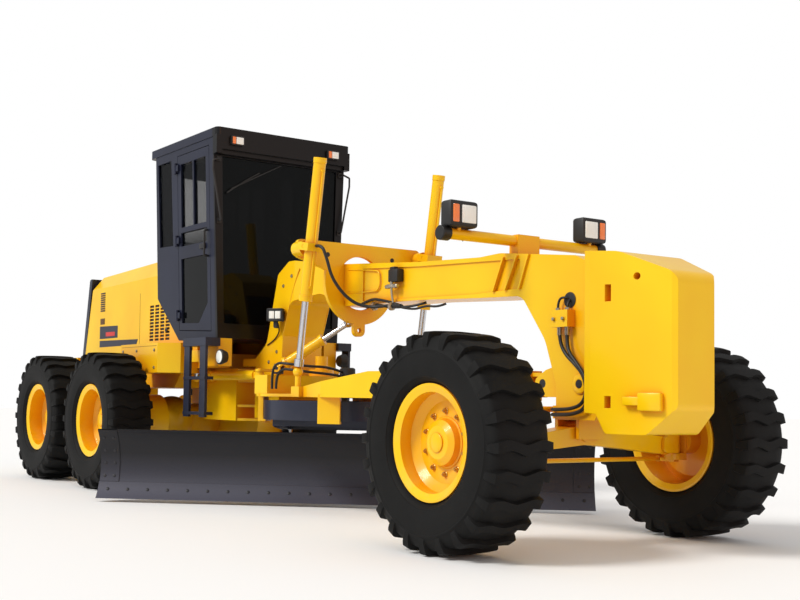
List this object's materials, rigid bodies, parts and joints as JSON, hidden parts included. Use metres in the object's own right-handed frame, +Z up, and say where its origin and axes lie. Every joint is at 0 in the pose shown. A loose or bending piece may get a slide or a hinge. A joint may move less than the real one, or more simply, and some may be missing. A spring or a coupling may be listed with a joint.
{
  "type": "motor grader",
  "caption": "Articulated motor grader with glazed cab, tandem rear wheels, arched front frame, drawbar, turning circle and a long curved blade.",
  "frame": {"origin": "on the ground, under the middle of the machine's bounding box", "axes": "+X forwards, +Y to the machine's left, +Z up"},
  "size_m": [8.89, 3.3781, 3.382],
  "materials": {
    "paint": "gloss yellow paint",
    "navy": "satin navy paint",
    "dark": "satin near-black paint",
    "trim": "matt black",
    "glass": "tinted, clear",
    "tyre": "black tyre rubber",
    "iron": "dull, worn",
    "chrome": "polished piston rod"
  },
  "bodies": {
    "rear_frame": {"rear_frame": "paint", "rear_axle": "paint", "hood": "paint", "radiator_guard": "navy", "engine": "iron", "side_tanks": "paint", "cab_frame": "navy", "cab_roof": "navy", "cab_glass": "glass", "cab_interior": "trim", "cab_fittings": "trim", "ladders": "navy"},
    "front_frame": {"tower": "paint", "gooseneck": "paint", "hoses": "trim", "saddle": "paint", "front_weight": "paint", "lamp_bar": "paint", "front_axle": "paint"},
    "lean_bar": {"lean_bar": "paint"},
    "tie_rod": {"tie_rod": "paint"},
    "drawbar_ball": {"drawbar_ball": "iron"},
    "drawbar": {"drawbar": "paint"},
    "circle": {"circle": "navy"},
    "blade_carrier": {"blade_carrier": "iron"},
    "blade": {"moldboard": "paint", "cutting_edge": "iron"},
    "shift_ball": {"shift_ball": "iron"},
    "shift_barrel": {"shift_barrel": "paint"},
    "shift_rod": {"shift_rod": "chrome"},
    "door_right": {"door_right": "dark", "door_right_glass": "glass"},
    "wheel_rear_right": {"tyre_rear_right": "tyre", "rim_rear_right": "paint"},
    "wheel_middle_right": {"tyre_middle_right": "tyre", "rim_middle_right": "paint"},
    "door_left": {"door_left": "dark", "door_left_glass": "glass"},
    "wheel_rear_left": {"tyre_rear_left": "tyre", "rim_rear_left": "paint"},
    "wheel_middle_left": {"tyre_middle_left": "tyre", "rim_middle_left": "paint"},
    "lean_right": {"lean_knuckle_right": "paint"},
    "steer_right": {"steer_knuckle_right": "paint"},
    "wheel_front_right": {"tyre_front_right": "tyre", "rim_front_right": "paint"},
    "lean_left": {"lean_knuckle_left": "paint"},
    "steer_left": {"steer_knuckle_left": "paint"},
    "wheel_front_left": {"tyre_front_left": "tyre", "rim_front_left": "paint"},
    "lift_yoke_right": {"lift_yoke_right": "paint"},
    "lift_barrel_right": {"lift_barrel_right": "paint"},
    "lift_rod_right": {"lift_rod_right": "chrome"},
    "artic_barrel_right": {"artic_barrel_right": "paint"},
    "artic_rod_right": {"artic_rod_right": "chrome"},
    "lift_yoke_left": {"lift_yoke_left": "paint"},
    "lift_barrel_left": {"lift_barrel_left": "paint"},
    "lift_rod_left": {"lift_rod_left": "chrome"},
    "artic_barrel_left": {"artic_barrel_left": "paint"},
    "artic_rod_left": {"artic_rod_left": "chrome"}
  },
  "joints": [
    {"name": "articulation", "type": "hinge", "parent": "rear_frame", "child": "front_frame", "pos_m": [-0.595, 0, 0.95], "axis": [0, 0, 1], "range_deg": [-25, 25]},
    {"name": "wheel_rear_right", "type": "hinge", "parent": "rear_frame", "child": "wheel_rear_right", "pos_m": [-3.46, -1.07, 0.674], "axis": [0, 1, 0], "continuous": true},
    {"name": "wheel_middle_right", "type": "hinge", "parent": "rear_frame", "child": "wheel_middle_right", "pos_m": [-1.93, -1.07, 0.674], "axis": [0, 1, 0], "continuous": true},
    {"name": "wheel_rear_left", "type": "hinge", "parent": "rear_frame", "child": "wheel_rear_left", "pos_m": [-3.46, 1.07, 0.674], "axis": [0, 1, 0], "continuous": true},
    {"name": "wheel_middle_left", "type": "hinge", "parent": "rear_frame", "child": "wheel_middle_left", "pos_m": [-1.93, 1.07, 0.674], "axis": [0, 1, 0], "continuous": true},
    {"name": "door_right", "type": "hinge", "parent": "rear_frame", "child": "door_right", "pos_m": [-1.187, -0.70348, 2.42], "axis": [0, 0.038, -0.9993], "range_deg": [0, 80]},
    {"name": "door_left", "type": "hinge", "parent": "rear_frame", "child": "door_left", "pos_m": [-1.187, 0.70348, 2.42], "axis": [0, 0.038, 0.9993], "range_deg": [0, 80]},
    {"name": "lean_right", "type": "hinge", "parent": "front_frame", "child": "lean_right", "pos_m": [3.49, -0.77, 0.64], "axis": [1, 0, 0], "range_deg": [-18, 18]},
    {"name": "steer_right", "type": "hinge", "parent": "lean_right", "child": "steer_right", "pos_m": [3.49, -0.91, 0.674], "axis": [0, 0, 1], "range_deg": [-45, 45]},
    {"name": "wheel_front_right", "type": "hinge", "parent": "steer_right", "child": "wheel_front_right", "pos_m": [3.49, -1.07, 0.674], "axis": [0, 1, 0], "continuous": true},
    {"name": "lean_left", "type": "hinge", "parent": "front_frame", "child": "lean_left", "pos_m": [3.49, 0.77, 0.64], "axis": [1, 0, 0], "range_deg": [-18, 18]},
    {"name": "steer_left", "type": "hinge", "parent": "lean_left", "child": "steer_left", "pos_m": [3.49, 0.91, 0.674], "axis": [0, 0, 1], "range_deg": [-45, 45]},
    {"name": "wheel_front_left", "type": "hinge", "parent": "steer_left", "child": "wheel_front_left", "pos_m": [3.49, 1.07, 0.674], "axis": [0, 1, 0], "continuous": true},
    {"name": "lean_bar", "type": "slide", "parent": "front_frame", "child": "lean_bar", "axis": [0, 1, 0], "range_m": [-0.08, 0.08]},
    {"name": "tie_rod", "type": "slide", "parent": "front_frame", "child": "tie_rod", "axis": [0, 1, 0], "range_m": [-0.08, 0.08]},
    {"name": "drawbar_pitch", "type": "hinge", "parent": "front_frame", "child": "drawbar_ball", "pos_m": [3.265, 0, 1.05], "axis": [0, 1, 0], "range_deg": [-9, 9]},
    {"name": "drawbar_swing", "type": "hinge", "parent": "drawbar_ball", "child": "drawbar", "pos_m": [3.265, 0, 1.05], "axis": [0, 0, 1], "range_deg": [-12, 12]},
    {"name": "circle_turn", "type": "hinge", "parent": "drawbar", "child": "circle", "pos_m": [0.76, 0, 0.825], "axis": [0, 0, 1], "continuous": true},
    {"name": "blade_pitch", "type": "hinge", "parent": "circle", "child": "blade_carrier", "pos_m": [0.57615, 0.15427, 0.24], "axis": [0.6428, 0.766, 0], "range_deg": [-5, 40]},
    {"name": "blade_shift", "type": "slide", "parent": "blade_carrier", "child": "blade", "axis": [0.6428, 0.766, 0], "range_m": [-0.5, 0.5]},
    {"name": "lift_yoke_right", "type": "hinge", "parent": "front_frame", "child": "lift_yoke_right", "pos_m": [1.102, -0.603, 2.143], "axis": [1, 0, 0], "range_deg": [-26, 26]},
    {"name": "lift_barrel_right", "type": "hinge", "parent": "lift_yoke_right", "child": "lift_barrel_right", "pos_m": [1.102, -0.603, 2.143], "axis": [0, 1, 0], "range_deg": [-2.5, 2.5]},
    {"name": "lift_rod_right", "type": "slide", "parent": "lift_barrel_right", "child": "lift_rod_right", "axis": [-0.1649, 0, -0.9863], "range_m": [-0.365, 0.365]},
    {"name": "artic_barrel_right", "type": "hinge", "parent": "front_frame", "child": "artic_barrel_right", "pos_m": [-0.045, -0.4, 1.125], "axis": [0, 0, 1], "range_deg": [-14.5, 14.5]},
    {"name": "artic_rod_right", "type": "slide", "parent": "artic_barrel_right", "child": "artic_rod_right", "axis": [1, 0, 0], "range_m": [-0.18, 0.18]},
    {"name": "lift_yoke_left", "type": "hinge", "parent": "front_frame", "child": "lift_yoke_left", "pos_m": [1.102, 0.603, 2.143], "axis": [1, 0, 0], "range_deg": [-26, 26]},
    {"name": "lift_barrel_left", "type": "hinge", "parent": "lift_yoke_left", "child": "lift_barrel_left", "pos_m": [1.102, 0.603, 2.143], "axis": [0, 1, 0], "range_deg": [-2.5, 2.5]},
    {"name": "lift_rod_left", "type": "slide", "parent": "lift_barrel_left", "child": "lift_rod_left", "axis": [-0.1649, 0, -0.9863], "range_m": [-0.365, 0.365]},
    {"name": "artic_barrel_left", "type": "hinge", "parent": "front_frame", "child": "artic_barrel_left", "pos_m": [-0.045, 0.4, 1.125], "axis": [0, 0, 1], "range_deg": [-14.5, 14.5]},
    {"name": "artic_rod_left", "type": "slide", "parent": "artic_barrel_left", "child": "artic_rod_left", "axis": [1, 0, 0], "range_m": [-0.18, 0.18]},
    {"name": "shift_ball", "type": "hinge", "parent": "drawbar", "child": "shift_ball", "pos_m": [0.35, -0.44, 1.18], "axis": [0, 0, 1], "range_deg": [-13, 13]},
    {"name": "shift_barrel", "type": "hinge", "parent": "shift_ball", "child": "shift_barrel", "pos_m": [0.35, -0.44, 1.18], "axis": [-0.6508, 0.7593, 0], "range_deg": [-27.5, 27.5]},
    {"name": "shift_rod", "type": "slide", "parent": "shift_barrel", "child": "shift_rod", "axis": [0.6431, 0.5512, 0.5316], "range_m": [-0.16, 0.16]}
  ],
  "couplings": [
    {"joint": "lean_left", "follows": "lean_right", "ratio": 1},
    {"joint": "steer_left", "follows": "steer_right", "ratio": 1},
    {"joint": "lean_bar", "follows": "lean_right", "m_per_rad": -0.24},
    {"joint": "tie_rod", "follows": "steer_right", "m_per_rad": -0.09},
    {"joint": "lift_yoke_right", "follows": "drawbar_swing", "ratio": -2.15},
    {"joint": "lift_barrel_right", "follows": "drawbar_pitch", "ratio": 0.26},
    {"joint": "lift_rod_right", "follows": "drawbar_pitch", "m_per_rad": -2.31},
    {"joint": "artic_barrel_right", "follows": "articulation", "ratio": -0.55},
    {"joint": "artic_rod_right", "follows": "articulation", "m_per_rad": -0.4},
    {"joint": "lift_yoke_left", "follows": "drawbar_swing", "ratio": -2.15},
    {"joint": "lift_barrel_left", "follows": "drawbar_pitch", "ratio": 0.26},
    {"joint": "lift_rod_left", "follows": "drawbar_pitch", "m_per_rad": -2.31},
    {"joint": "artic_barrel_left", "follows": "articulation", "ratio": -0.55},
    {"joint": "artic_rod_left", "follows": "articulation", "m_per_rad": 0.4},
    {"joint": "shift_ball", "follows": "drawbar_swing", "ratio": 1},
    {"joint": "shift_barrel", "follows": "drawbar_pitch", "ratio": 3},
    {"joint": "shift_rod", "follows": "drawbar_pitch", "m_per_rad": -1}
  ]
}
